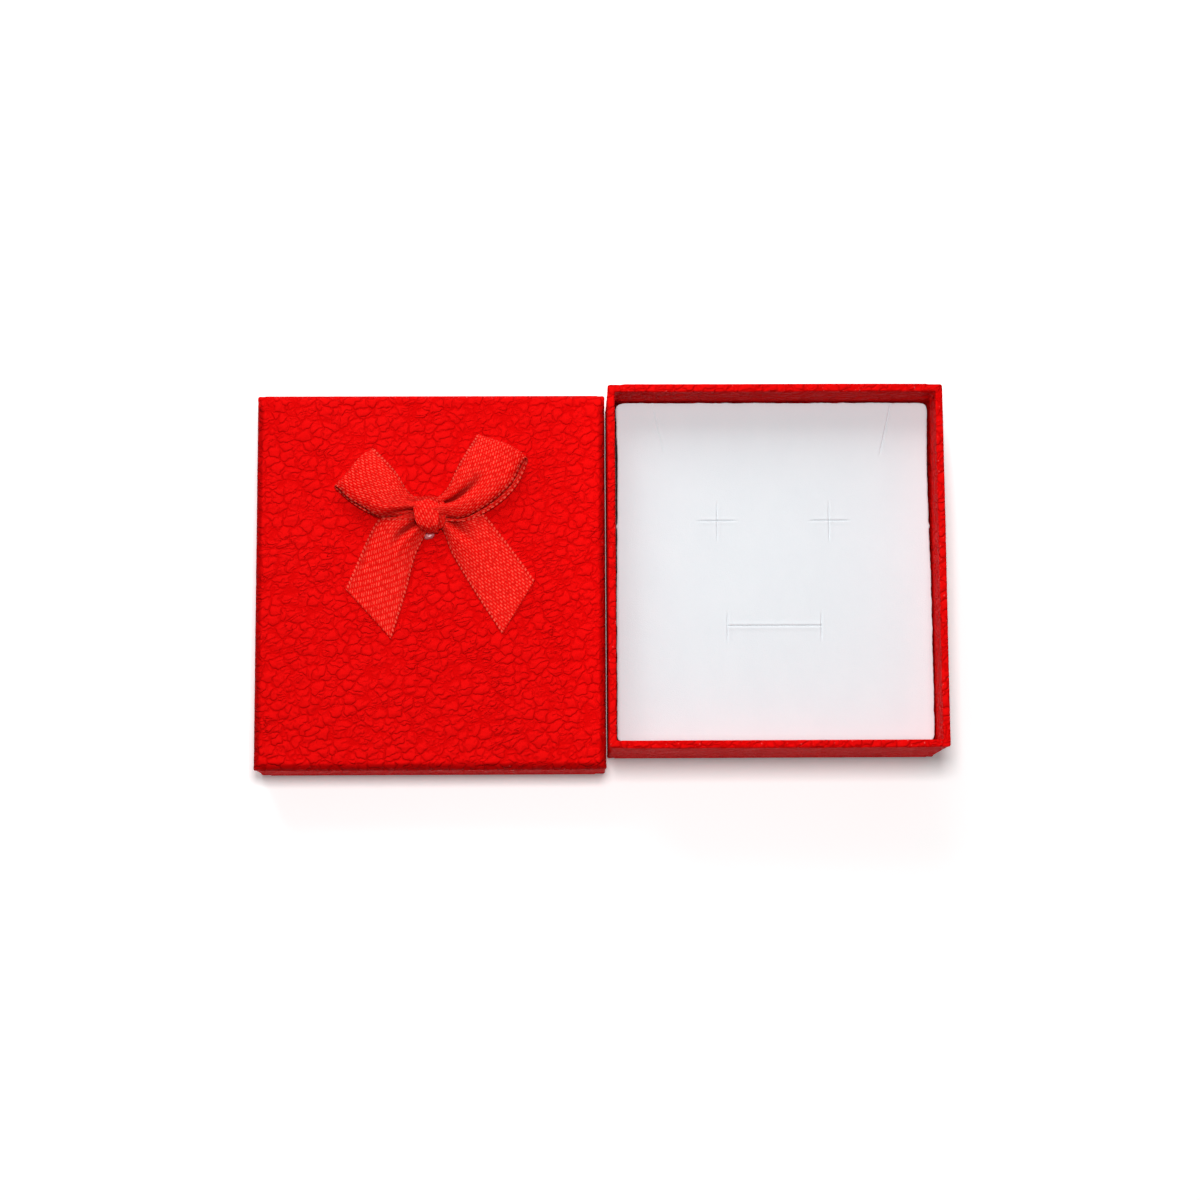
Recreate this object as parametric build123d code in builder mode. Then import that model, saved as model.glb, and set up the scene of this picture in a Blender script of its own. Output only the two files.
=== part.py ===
"""Two-piece jewelry gift box, lid lying face up beside the open tray.

Both halves are rigid set-up boxes: a greyboard tray, paper tape stays on its four
vertical corners, and one sheet of embossed paper glued over the outside and turned
in over the rim.  The lower tray holds a flocked foam insert cut for earrings, a ring
and a necklace.  The lid carries a satin ribbon bow held by a drop of glue.

Units are millimetres and +Z is up.  The origin is the centre of the lower tray's
underside, on the surface that both halves rest on.
"""

import os

from build123d import *

# ---------------------------------------------------------------- driving dimensions

# Whole box
lid_width = 80.0            # outside, along X
lid_length = 86.4           # outside, along Y
lid_height = 17.0           # outside
base_height = 30.0          # outside, floor to rim
slip_clearance = 0.3        # each side, base inside the closed lid

# Sheet stock
board_thickness = 1.2       # greyboard
stay_thickness = 0.1        # gummed paper tape
stay_leg = 9.0              # tape on each side of a corner
paper_thickness = 0.2       # embossed covering paper
board_fold_radius = 1.0     # outside of a folded board edge
board_edge_radius = 0.35    # crushed edge of the board under the rim
board_corner_radius = 0.6   # crushed upright corner of the board, under the tape
base_turn_in = 16.0         # covering paper down the inside of the base walls
lid_turn_in = 10.0          # covering paper up the inside of the lid walls

# Layout of the two halves on the table
layout_gap = 0.4            # between lid and base, side by side
lid_setback = 1.6           # lid centre in front of the base centre

# Insert
insert_clearance = 0.5      # each side, insert in the base
insert_recess = 10.7        # rim down to the insert's face
velvet_thickness = 0.8
insert_corner_radius = 1.5
slit_width = 0.3            # knife cuts, almost closed
cross_arm = 7.8             # each cut of an earring cross
cross_spacing = 25.6        # centre to centre
cross_offset = 11.6         # crosses behind the insert's centre
ring_slit_length = 21.4
ring_slit_tick = 5.8        # short cut across each end of the ring slit
ring_slit_offset = 12.6     # ring slit in front of the insert's centre
chain_slit_length = 11.4    # necklace cuts, in from the far edge
chain_slit_spacing = 55.0   # between the necklace cuts, at the far edge
chain_slit_lean = 13.0      # degrees, the cuts lean towards each other

# Bow
ribbon_width = 12.7         # half-inch ribbon
ribbon_thickness = 0.3
bow_offset_x = -1.0         # knot from the lid's centre
bow_offset_y = 15.0
bow_gap = 0.1               # air under the ribbon
knot_width = 6.0
knot_length = 8.0
knot_height = 3.6
knot_corner_radius = 1.2
loop_fold_radius = 1.5      # outer fold of a loop
loop_left_heading = 132.0   # degrees from +X, square to the outer fold
loop_left_length = 18.6     # knot centre to outer fold
loop_left_spread = -1.3     # inner edge at the fold, away from the other loop
loop_right_heading = 64.0
loop_right_length = 22.0
loop_right_spread = 2.6
tail_rise = 1.3             # a tail's highest point above the lid
tail_left_heading = 240.0
tail_left_length = 26.2     # knot centre to the middle of the cut end
tail_right_heading = 315.0
tail_right_length = 30.0
tail_end_slant = 4.2        # one side of the cut end beyond the other
tail_end_half_width = 7.0   # the ribbon's edges flare a little towards the cut
glue_radius = 1.0
glue_height = 0.8
glue_offset_x = 0.6         # drop from the knot's centre
glue_offset_y = -4.7

# ---------------------------------------------------------------- derived sizes

skin = paper_thickness + stay_thickness
wall_thickness = skin + board_thickness + paper_thickness
panel_thickness = skin + board_thickness
fold_radius = board_fold_radius + skin
stay_corner_radius = board_corner_radius + stay_thickness
wrap_corner_radius = board_corner_radius + skin
rim_radius = 2 * paper_thickness

base_width = lid_width - 2 * (wall_thickness + slip_clearance)
base_length = lid_length - 2 * (wall_thickness + slip_clearance)

lid_x = -(base_width / 2 + layout_gap + lid_width / 2)
lid_y = -lid_setback

insert_width = base_width - 2 * (wall_thickness + insert_clearance)
insert_length = base_length - 2 * (wall_thickness + insert_clearance)
insert_top = base_height - insert_recess
foam_thickness = insert_top - velvet_thickness - panel_thickness

# A seat's local z runs from a tray's closed panel towards its open rim.
base_seat = Plane((0, 0, 0), x_dir=(1, 0, 0), z_dir=(0, 0, 1))
lid_seat = Plane((lid_x, lid_y, lid_height), x_dir=(1, 0, 0), z_dir=(0, 0, -1))
bow_seat = Plane(
    (lid_x + bow_offset_x, lid_y + bow_offset_y, lid_height + bow_gap),
    x_dir=(1, 0, 0),
    z_dir=(0, 0, 1),
)

corner_signs = ((-1, -1), (1, -1), (1, 1), (-1, 1))


def save(piece, name):
    """Label one finished piece and write its file."""
    piece.part.label = name
    export_step(piece.part, f"parts/{name}.step")
    return piece.part


# ---------------------------------------------------------------- set-up box trays


def folded_block(seat, width, length, height, radius, corner_radius):
    """Block with its panel edges rounded like a folded sheet, and its upright corners."""
    front = Plane(seat.origin, x_dir=seat.x_dir, z_dir=-seat.y_dir)
    side = Plane(seat.origin, x_dir=seat.y_dir, z_dir=seat.x_dir)
    with BuildPart() as block:
        for plane, across, depth, how in (
            (front, width, length, Mode.ADD),
            (side, length, width, Mode.INTERSECT),
        ):
            with BuildSketch(plane) as profile:
                Rectangle(across, height, align=(Align.CENTER, Align.MIN))
                fillet(profile.vertices().group_by(Axis.Y)[0], radius)
            extrude(amount=depth / 2, both=True, mode=how)
        with BuildSketch(seat):
            RectangleRounded(width, length, corner_radius)
        extrude(amount=height, mode=Mode.INTERSECT)
    return block.part


def build_board(name, seat, width, length, height):
    """Greyboard tray: one panel with four walls folded up from it."""
    board_height = height - skin - paper_thickness
    blank = folded_block(
        seat.offset(skin),
        width - 2 * skin,
        length - 2 * skin,
        board_height,
        board_fold_radius,
        board_corner_radius,
    )
    with BuildPart() as board:
        add(blank)
        with BuildSketch(seat.offset(panel_thickness)):
            Rectangle(
                width - 2 * (skin + board_thickness),
                length - 2 * (skin + board_thickness),
            )
        extrude(amount=height, mode=Mode.SUBTRACT)
        rim = board.faces().sort_by(Axis(seat.origin, seat.z_dir))[-1]
        fillet(rim.edges(), board_edge_radius)
    return save(board, name)


def build_stays(prefix, seat, width, length, height):
    """Four L-shaped strips of paper tape, one outside each corner of the board."""
    stays = []
    for number, (x_sign, y_sign) in enumerate(corner_signs, start=1):
        corner = (x_sign * (width / 2 - paper_thickness), y_sign * (length / 2 - paper_thickness))
        inward = (
            Align.MAX if x_sign > 0 else Align.MIN,
            Align.MAX if y_sign > 0 else Align.MIN,
        )
        with BuildPart() as stay:
            with BuildSketch(seat.offset(fold_radius)):
                RectangleRounded(
                    width - 2 * paper_thickness, length - 2 * paper_thickness, stay_corner_radius
                )
                RectangleRounded(
                    width - 2 * skin, length - 2 * skin, board_corner_radius, mode=Mode.SUBTRACT
                )
                with Locations(corner):
                    Rectangle(stay_leg, stay_leg, align=inward, mode=Mode.INTERSECT)
            extrude(amount=height - fold_radius - paper_thickness)
        stays.append(save(stay, f"{prefix}_corner_stay_{number}"))
    return stays


def build_wrap(name, seat, width, length, height, turn_in):
    """Covering paper: over the panel and walls, across the rim and down inside."""
    outside = folded_block(seat, width, length, height, fold_radius, wrap_corner_radius)
    room = folded_block(
        seat.offset(paper_thickness),
        width - 2 * paper_thickness,
        length - 2 * paper_thickness,
        height - 2 * paper_thickness,
        fold_radius - paper_thickness,
        stay_corner_radius,
    )
    inner_width = width - 2 * wall_thickness
    inner_length = length - 2 * wall_thickness
    with BuildPart() as wrap:
        add(outside)
        add(room, mode=Mode.SUBTRACT)
        with BuildSketch(seat.offset(height - turn_in)):
            Rectangle(inner_width + 2 * paper_thickness, inner_length + 2 * paper_thickness)
        extrude(amount=turn_in)
        with BuildSketch(seat.offset(paper_thickness)):
            Rectangle(inner_width, inner_length)
        extrude(amount=height, mode=Mode.SUBTRACT)
        rim = wrap.faces().sort_by(Axis(seat.origin, seat.z_dir))[-1]
        fillet(rim.edges(), rim_radius)
    return save(wrap, name)


def build_tray(prefix, seat, width, length, height, turn_in):
    """One half of the box: board, corner stays and covering paper."""
    build_board(f"{prefix}_board", seat, width, length, height)
    build_stays(prefix, seat, width, length, height)
    build_wrap(f"{prefix}_wrap", seat, width, length, height, turn_in)


# ---------------------------------------------------------------- insert


def cut_slits():
    """Knife cuts of the insert, taken out of the sketch being drawn."""
    for x_sign in (-1, 1):
        with Locations((x_sign * cross_spacing / 2, cross_offset)):
            Rectangle(cross_arm, slit_width, mode=Mode.SUBTRACT)
            Rectangle(slit_width, cross_arm, mode=Mode.SUBTRACT)
        with Locations((x_sign * ring_slit_length / 2, -ring_slit_offset)):
            Rectangle(slit_width, ring_slit_tick, mode=Mode.SUBTRACT)
        # Half of this long strip lies outside the far edge, the rest is the cut.
        with Locations((x_sign * chain_slit_spacing / 2, insert_length / 2)):
            Rectangle(
                slit_width,
                2 * chain_slit_length,
                rotation=-x_sign * chain_slit_lean,
                mode=Mode.SUBTRACT,
            )
    with Locations((0, -ring_slit_offset)):
        Rectangle(ring_slit_length, slit_width, mode=Mode.SUBTRACT)


def build_insert_layer(name, bottom, thickness):
    """One layer of the insert, cut right through by every slit."""
    with BuildPart() as layer:
        with BuildSketch(base_seat.offset(bottom)):
            RectangleRounded(insert_width, insert_length, insert_corner_radius)
            cut_slits()
        extrude(amount=thickness)
    return save(layer, name)


# ---------------------------------------------------------------- bow


def bow_planes(heading):
    """Plan and side planes through the knot, both with local x along a heading."""
    plan = bow_seat.rotated((0, 0, heading))
    side = Plane(plan.origin, x_dir=plan.x_dir, z_dir=-plan.y_dir)
    return plan, side


def build_knot():
    """The turn of ribbon pulled tight round the middle of the bow."""
    with BuildPart() as knot:
        with BuildSketch(bow_seat):
            RectangleRounded(knot_width, knot_length, knot_corner_radius)
        extrude(amount=knot_height)
        crown = knot.faces().sort_by(Axis.Z)[-1]
        fillet(crown.edges(), 0.9 * knot_corner_radius)
    return save(knot, "bow_knot")


def build_loop(name, knot, heading, length, spread, outward):
    """Flattened ribbon loop: out from the knot, round the fold and back.

    outward is 1 or -1, the side of the heading on which the loop bellies out.
    """
    plan, side = bow_planes(heading)
    under = tail_rise + bow_gap
    over = under + 2 * loop_fold_radius
    fold_start = length - loop_fold_radius
    with BuildPart() as loop:
        with BuildSketch(side):
            with BuildLine():
                Line((0, under + 3 * ribbon_thickness), (0, under))
                Line((0, under), (fold_start, under))
                ThreePointArc((fold_start, under), (length, (under + over) / 2), (fold_start, over))
                Line((fold_start, over), (0, under + 3 * ribbon_thickness))
            make_face()
            offset(amount=-ribbon_thickness, mode=Mode.SUBTRACT)
        extrude(amount=2 * ribbon_width, both=True)
        with BuildSketch(plan):
            inner_root = (0, -outward)
            inner_tip = (length + bow_gap, outward * spread)
            outer_tip = (length + bow_gap, outward * (spread + ribbon_width))
            belly = (0.45 * length, outward * (spread + 0.8 * ribbon_width))
            outer_root = (0, outward * 0.45 * knot_length)
            with BuildLine():
                Polyline(outer_root, inner_root, inner_tip, outer_tip)
                ThreePointArc(outer_tip, belly, outer_root)
            make_face()
        extrude(amount=2 * over, mode=Mode.INTERSECT)
        add(knot, mode=Mode.SUBTRACT)
    return save(loop, name)


def build_tail(name, knot, heading, length, outward):
    """Ribbon tail: a low arch from under the knot to its slanting cut end."""
    plan, side = bow_planes(heading)
    far = length + tail_end_slant
    crest = tail_rise - ribbon_thickness
    with BuildPart() as tail:
        with BuildSketch(side):
            with BuildLine():
                Line((0, ribbon_thickness), (0, 0))
                ThreePointArc((0, 0), (far / 2, crest), (far, 0))
                Line((far, 0), (far, ribbon_thickness))
                ThreePointArc((far, ribbon_thickness), (far / 2, tail_rise), (0, ribbon_thickness))
            make_face()
        extrude(amount=2 * ribbon_width, both=True)
        with BuildSketch(plan):
            with BuildLine():
                Polyline(
                    (0, outward * 0.25 * knot_length),
                    (knot_width, outward * 0.75 * ribbon_width),
                    (length - tail_end_slant / 2, outward * tail_end_half_width),
                    (length + tail_end_slant / 2, -outward * tail_end_half_width),
                    (0.6 * knot_width, -outward * 0.25 * knot_length),
                    close=True,
                )
            make_face()
        extrude(amount=2 * tail_rise, mode=Mode.INTERSECT)
        add(knot, mode=Mode.SUBTRACT)
    return save(tail, name)


def build_glue(knot):
    """Drop of set glue at the knot's lower edge, on the lid's face."""
    with BuildPart() as drop:
        with BuildSketch(bow_seat.offset(-bow_gap)):
            with Locations((glue_offset_x, glue_offset_y)):
                Circle(glue_radius)
        extrude(amount=glue_height)
        fillet(drop.edges().sort_by(Axis.Z)[-1], 0.8 * glue_height)
        add(knot, mode=Mode.SUBTRACT)
    return save(drop, "bow_glue")


# ---------------------------------------------------------------- the whole object


def build_all():
    """Make every piece in turn and write each one to its own file."""
    os.makedirs("parts", exist_ok=True)
    build_tray("base", base_seat, base_width, base_length, base_height, base_turn_in)
    build_tray("lid", lid_seat, lid_width, lid_length, lid_height, lid_turn_in)
    build_insert_layer("insert_foam", panel_thickness, foam_thickness)
    build_insert_layer("insert_velvet", panel_thickness + foam_thickness, velvet_thickness)
    knot = build_knot()
    build_loop("bow_loop_left", knot, loop_left_heading, loop_left_length, loop_left_spread, 1)
    build_loop("bow_loop_right", knot, loop_right_heading, loop_right_length, loop_right_spread, -1)
    build_tail("bow_tail_left", knot, tail_left_heading, tail_left_length, -1)
    build_tail("bow_tail_right", knot, tail_right_heading, tail_right_length, 1)
    build_glue(knot)


build_all()
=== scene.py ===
# %% [markdown]
# A paper gift box for jewelry, in Blender
#
# The box is two shallow trays of greyboard covered in embossed red paper, a flocked foam
# insert with knife cuts that grip the jewelry, and a bow of satin ribbon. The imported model
# gives the frame: every size and place below is read from it. Each papered or soft piece
# is replaced by a finer mesh, and the plain board pieces get a material only.

import bmesh
import bpy
import numpy as np
from mathutils import Euler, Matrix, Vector


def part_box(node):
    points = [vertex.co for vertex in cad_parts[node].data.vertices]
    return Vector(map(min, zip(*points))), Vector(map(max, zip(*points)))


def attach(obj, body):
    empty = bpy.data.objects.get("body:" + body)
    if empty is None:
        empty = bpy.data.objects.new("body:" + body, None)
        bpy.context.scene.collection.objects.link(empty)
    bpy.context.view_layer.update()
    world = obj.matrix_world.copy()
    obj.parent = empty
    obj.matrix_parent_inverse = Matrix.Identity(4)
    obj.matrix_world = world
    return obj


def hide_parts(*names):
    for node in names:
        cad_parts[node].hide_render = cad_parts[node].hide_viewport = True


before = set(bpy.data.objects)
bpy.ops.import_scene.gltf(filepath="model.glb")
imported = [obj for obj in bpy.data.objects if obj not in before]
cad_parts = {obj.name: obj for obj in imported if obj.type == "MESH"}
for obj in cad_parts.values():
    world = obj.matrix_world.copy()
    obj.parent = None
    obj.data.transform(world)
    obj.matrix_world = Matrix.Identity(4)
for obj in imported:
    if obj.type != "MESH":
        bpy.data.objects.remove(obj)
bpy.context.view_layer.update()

# %% [markdown]
# A box this small is easiest to think about in millimetres, while Blender works in metres.
# One helper turns a node's box into millimetres, and a mesh is scaled back when it is made.

# %% Sizes from the frame
MM = 0.001


def box_mm(node):
    """Centre and half size of a node's box, in millimetres."""
    low, high = (np.array(corner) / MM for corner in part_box(node))
    return (low + high) / 2, (high - low) / 2


lid_centre, lid_half = box_mm("lid_wrap")
base_centre, base_half = box_mm("base_wrap")
velvet_centre, velvet_half = box_mm("insert_velvet")
foam_centre, foam_half = box_mm("insert_foam")
knot_centre = box_mm("bow_knot")[0]
glue_centre, glue_half = box_mm("bow_glue")
lid_top = lid_centre[2] + lid_half[2]
print("lid", 2 * lid_half, "base", 2 * base_half, "insert", 2 * velvet_half)

# %% [markdown]
# Nearly every piece here is a sheet: paper, flock or ribbon. A sheet is a grid of points, so
# one function lists a grid's faces and another turns points and faces into a smooth mesh.
# Numbers kept on the points, such as the place along a ribbon, travel with the mesh as
# attributes, and the materials read them.

# %% Mesh helpers
WELD = 0.002  # mm; points nearer than this become one


def grid_faces(rows, columns, closed=False):
    """Quads between the points of a grid stored row by row."""
    row = np.arange(rows - 1)[:, None]
    column = np.arange(columns if closed else columns - 1)[None, :]
    after = (column + 1) % columns
    here = row * columns
    ahead = here + columns
    corners = (here + column, here + after, ahead + after, ahead + column)
    return np.stack([corner.ravel() for corner in corners], axis=1).tolist()


def make_piece(name, points, faces, marks=None, weld=False):
    """Smooth mesh object from points in millimetres, with marks kept as attributes."""
    mesh = bpy.data.meshes.new(name)
    mesh.from_pydata((np.asarray(points, float) * MM).tolist(), [], faces)
    for mark, values in (marks or {}).items():
        kind, field = ("FLOAT_VECTOR", "vector") if np.ndim(values) == 2 else ("FLOAT", "value")
        attribute = mesh.attributes.new(mark, kind, "POINT")
        attribute.data.foreach_set(field, np.asarray(values, np.float32).ravel())
    if weld:
        work = bmesh.new()
        work.from_mesh(mesh)
        bmesh.ops.remove_doubles(work, verts=work.verts, dist=WELD * MM)
        work.to_mesh(mesh)
        work.free()
    mesh.validate()
    mesh.polygons.foreach_set("use_smooth", [True] * len(mesh.polygons))
    piece = bpy.data.objects.new(name, mesh)
    bpy.context.scene.collection.objects.link(piece)
    print(f"{name}: {len(mesh.vertices)} points, {len(mesh.polygons)} faces")
    return piece


def shell(top, under, side_rows=0):
    """Points and faces of a closed skin between two grids of the same shape."""
    rows, columns = top.shape[:2]
    size = rows * columns
    index = np.arange(size).reshape(rows, columns)
    border = np.concatenate([index[0, :-1], index[:-1, -1], index[-1, :0:-1], index[:0:-1, 0]])
    upper, lower = top.reshape(-1, 3), under.reshape(-1, 3)
    shares = np.linspace(0, 1, side_rows + 2)[1:-1]
    belts = [upper[border] * (1 - share) + lower[border] * share for share in shares]
    points = np.concatenate([upper, lower] + belts)
    faces = grid_faces(rows, columns)
    faces += (np.array(grid_faces(rows, columns))[:, ::-1] + size).tolist()
    belt_start = 2 * size + np.arange(side_rows) * len(border)
    chain = [border] + [start + np.arange(len(border)) for start in belt_start]
    chain.append(border + size)
    for high, low in zip(chain, chain[1:]):
        quads = [high, low, np.roll(low, -1), np.roll(high, -1)]
        faces += np.stack(quads, axis=1).tolist()
    return points, faces


def ramp(low, high, value):
    """0 below low, 1 above high and an S-shaped rise between."""
    part = np.clip((value - low) / (high - low), 0, 1)
    return part * part * (3 - 2 * part)


def bump(value, width):
    """1 where value is 0, falling away over about width on both sides."""
    return np.exp(-((value / width) ** 2))


# %% [markdown]
# Shader nodes are joined by wires, and long chains of Math nodes are hard to read. This
# small class wraps one socket, so that ordinary arithmetic adds the nodes. The same texture
# nodes work in a geometry tree, so one formula can press the mesh and drive the material.

# %% A wire that does arithmetic


class Wire:
    """One socket of a node tree; arithmetic on it adds nodes to the tree."""

    def __init__(self, tree, socket=None):
        self.tree = tree
        self.socket = socket

    def node(self, kind, settings=None, sockets=None, out=0):
        """Add a node, set it up, feed its sockets and return one of its outputs."""
        made = self.tree.nodes.new(kind)
        for key, value in (settings or {}).items():
            setattr(made, key, value)
        for key, value in (sockets or {}).items():
            if isinstance(value, Wire):
                self.tree.links.new(value.socket, made.inputs[key])
            else:
                made.inputs[key].default_value = value
        return Wire(self.tree, made.outputs[out] if len(made.outputs) else None)

    def is_vector(self):
        return self.socket.type in ("VECTOR", "RGBA")

    def maths(self, operation, first, second):
        """Math on numbers, or Vector Math when either side is a vector or colour."""
        wires = [value for value in (first, second) if isinstance(value, Wire)]
        tuples = any(hasattr(value, "__len__") for value in (first, second))
        if not tuples and not any(wire.is_vector() for wire in wires):
            return self.node("ShaderNodeMath", {"operation": operation}, {0: first, 1: second})
        sides = {0: as_vector(first), 1: as_vector(second)}
        return self.node("ShaderNodeVectorMath", {"operation": operation}, sides)

    def __add__(self, other):
        return self.maths("ADD", self, other)

    def __radd__(self, other):
        return self.maths("ADD", other, self)

    def __sub__(self, other):
        return self.maths("SUBTRACT", self, other)

    def __rsub__(self, other):
        return self.maths("SUBTRACT", other, self)

    def __mul__(self, other):
        return self.maths("MULTIPLY", self, other)

    def __rmul__(self, other):
        return self.maths("MULTIPLY", other, self)

    def __mod__(self, step):
        """Remainder after whole steps, never negative."""
        settings = {"operation": "FLOORED_MODULO"}
        return self.node("ShaderNodeMath", settings, {0: self, 1: step})

    def __abs__(self):
        return self.node("ShaderNodeMath", {"operation": "ABSOLUTE"}, {0: self})

    def floor(self):
        return self.node("ShaderNodeMath", {"operation": "FLOOR"}, {0: self})

    def ramp(self, low, high):
        """S-shaped rise from 0 at low to 1 at high."""
        settings = {"interpolation_type": "SMOOTHSTEP"}
        sockets = {"Value": self, "From Min": low, "From Max": high}
        return self.node("ShaderNodeMapRange", settings, sockets)

    def part(self, axis):
        """The X, Y or Z of a vector, as axis 0, 1 or 2."""
        return self.node("ShaderNodeSeparateXYZ", {}, {0: self}, out=axis)

    def mix(self, low, high):
        """Colour that goes from low to high as this wire goes from 0 to 1."""
        sockets = {"Factor": self, 6: low, 7: high}
        return self.node("ShaderNodeMix", {"data_type": "RGBA"}, sockets, out=2)


def as_vector(value):
    """A plain number as the three equal numbers that a Vector Math socket takes."""
    return value if isinstance(value, Wire) or hasattr(value, "__len__") else (value,) * 3


def clouds(place, scale, detail=2.0, out=0):
    """Noise over a place in millimetres: scale is ripples to the millimetre."""
    sockets = {"Vector": place, "Scale": scale, "Detail": detail}
    return place.node("ShaderNodeTexNoise", {}, sockets, out=out)


def cell_edge(place, scale):
    """Distance to the nearest border between random cells, 0 on the border."""
    settings = {"feature": "DISTANCE_TO_EDGE"}
    return place.node("ShaderNodeTexVoronoi", settings, {"Vector": place, "Scale": scale})


def cell_middle(place, scale):
    """Distance to the middle of a random cell, in cells."""
    settings = {"feature": "F1"}
    return place.node("ShaderNodeTexVoronoi", settings, {"Vector": place, "Scale": scale})


def turned(place, angle):
    """The place turned about the upright axis."""
    settings = {"rotation_type": "Z_AXIS"}
    return place.node("ShaderNodeVectorRotate", settings, {"Vector": place, "Angle": angle})


# %% [markdown]
# Every material starts the same way: an empty tree, the place on the piece in millimetres,
# and a Principled shader at the end. What changes over the surface arrives as wires, and
# what is the same everywhere is set as a plain number on the shader's own socket.

# %% Material helpers


def start_material(name):
    """New material and a wire that carries the place on the piece in millimetres."""
    material = bpy.data.materials.new(name)
    material.use_nodes = True
    material.node_tree.nodes.clear()
    place = Wire(material.node_tree).node("ShaderNodeTexCoord", out=3) * (1 / MM)
    return material, place


def end_material(place, height, depth, varying, constant):
    """Principled shader with a bump of the given depth in millimetres."""
    relief = {"Strength": 1.0, "Distance": depth * MM, "Height": height}
    normal = place.node("ShaderNodeBump", {}, relief)
    sockets = {**varying, **constant, "Normal": normal}
    shader = place.node("ShaderNodeBsdfPrincipled", {}, sockets)
    place.node("ShaderNodeOutputMaterial", {}, {"Surface": shader})


def dress(piece, material, body, slot, *nodes):
    """Give a piece its material and body, and let it stand for CAD nodes. The slot is not used."""
    piece.data.materials.clear()
    piece.data.materials.append(material)
    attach(piece, body)
    if nodes:
        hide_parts(*nodes)


# %% [markdown]
# ## Camera, floor and light
#
# The box is looked at from almost straight above, a little from the front, through a long
# lens. A soft light stands high above it and a weaker one low behind, so walls that face
# the viewer are darker, the insert is shaded below its far wall and the grain shows. The
# floor is white and glows a little, which keeps it white away from the light.

# %% Camera
camera_data = bpy.data.cameras.new("camera")
camera_data.sensor_width = 36.0
camera_data.lens = 79.0
camera_data.clip_end = 20.0
camera = bpy.data.objects.new("camera", camera_data)
camera.location = Vector((-49.5, -88.3, 613.0)) * MM
camera.rotation_euler = Euler((0.1369, -0.0157, -0.0055), "ZYX")
bpy.context.scene.collection.objects.link(camera)
bpy.context.scene.camera = camera
bpy.context.scene.view_settings.view_transform = "Standard"
print("camera", tuple(round(value, 3) for value in camera.location))

# %% Soft lights and a pale room


def soft_light(name, place, size, power):
    """Square softbox that points at the box."""
    data = bpy.data.lights.new(name, "AREA")
    data.shape = "SQUARE"
    data.size = size
    data.energy = power
    light = bpy.data.objects.new(name, data)
    light.location = place
    aim = Vector((-0.04, 0.0, 0.0)) - light.location
    light.rotation_euler = aim.to_track_quat("-Z", "Y").to_euler()
    bpy.context.scene.collection.objects.link(light)


soft_light("key", Vector((-0.04, 0.01, 0.55)), 0.10, 2.2)
soft_light("back window", Vector((-0.15, 0.37, 0.30)), 0.36, 1.45)

# The room is paler behind and to the left, as near a window.
room = bpy.data.worlds.new("room")
room.use_nodes = True
room_start = Wire(room.node_tree)
room_way = room_start.node("ShaderNodeTexCoord") * (-0.5, 0.62, 0.6)
window = (room_way.part(0) + room_way.part(1) + room_way.part(2)).ramp(-0.25, 1.0)
room_light = window.mix((0.02, 0.02, 0.02, 1), (0.20, 0.20, 0.20, 1))
backdrop = room.node_tree.nodes["Background"]
room.node_tree.links.new(room_light.socket, backdrop.inputs["Color"])
bpy.context.scene.world = room

# %% Floor
FLOOR_REACH = 9000.0  # mm each way from the middle
floor_corners = ((-1, -1), (1, -1), (1, 1), (-1, 1))
floor_points = [(x * FLOOR_REACH, y * FLOOR_REACH, 0) for x, y in floor_corners]
floor = make_piece("floor", floor_points, [(0, 1, 2, 3)])
floor_paper, floor_place = start_material("white floor")
floor_tone = clouds(floor_place, 0.004).mix((0.96, 0.96, 0.96, 1), (0.98, 0.98, 0.98, 1))
glow = {"Emission Color": (1.0, 1.0, 1.0, 1), "Emission Strength": 0.2}
dull = {"Roughness": 0.9, "Specular IOR Level": 0.1}
floor_tooth = clouds(floor_place, 1.5)
end_material(floor_place, floor_tooth, 0.005, {"Base Color": floor_tone}, {**glow, **dull})
floor.data.materials.append(floor_paper)

# %% [markdown]
# ## Embossed covering paper
#
# The paper is pressed with a leather grain: rounded pebbles two or three millimetres wide,
# smaller ones between them, and a few long creases. Random cells give the pebbles, a slow
# noise bends their borders, and stretching the place makes them lean. The height goes twice
# into the model: a geometry tree presses it into the mesh, and the material adds the sharp
# part of each crease as bump.

# %% Leather grain
GRAIN_LEAN = -0.45    # radians
PEBBLES = 0.42        # to the millimetre
SMALL_PEBBLES = 0.66
PRESS_DEPTH = 0.09    # mm, from a pebble's top to a crease in the mesh
BUMP_DEPTH = 0.48     # mm, for the same height in the material


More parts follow.
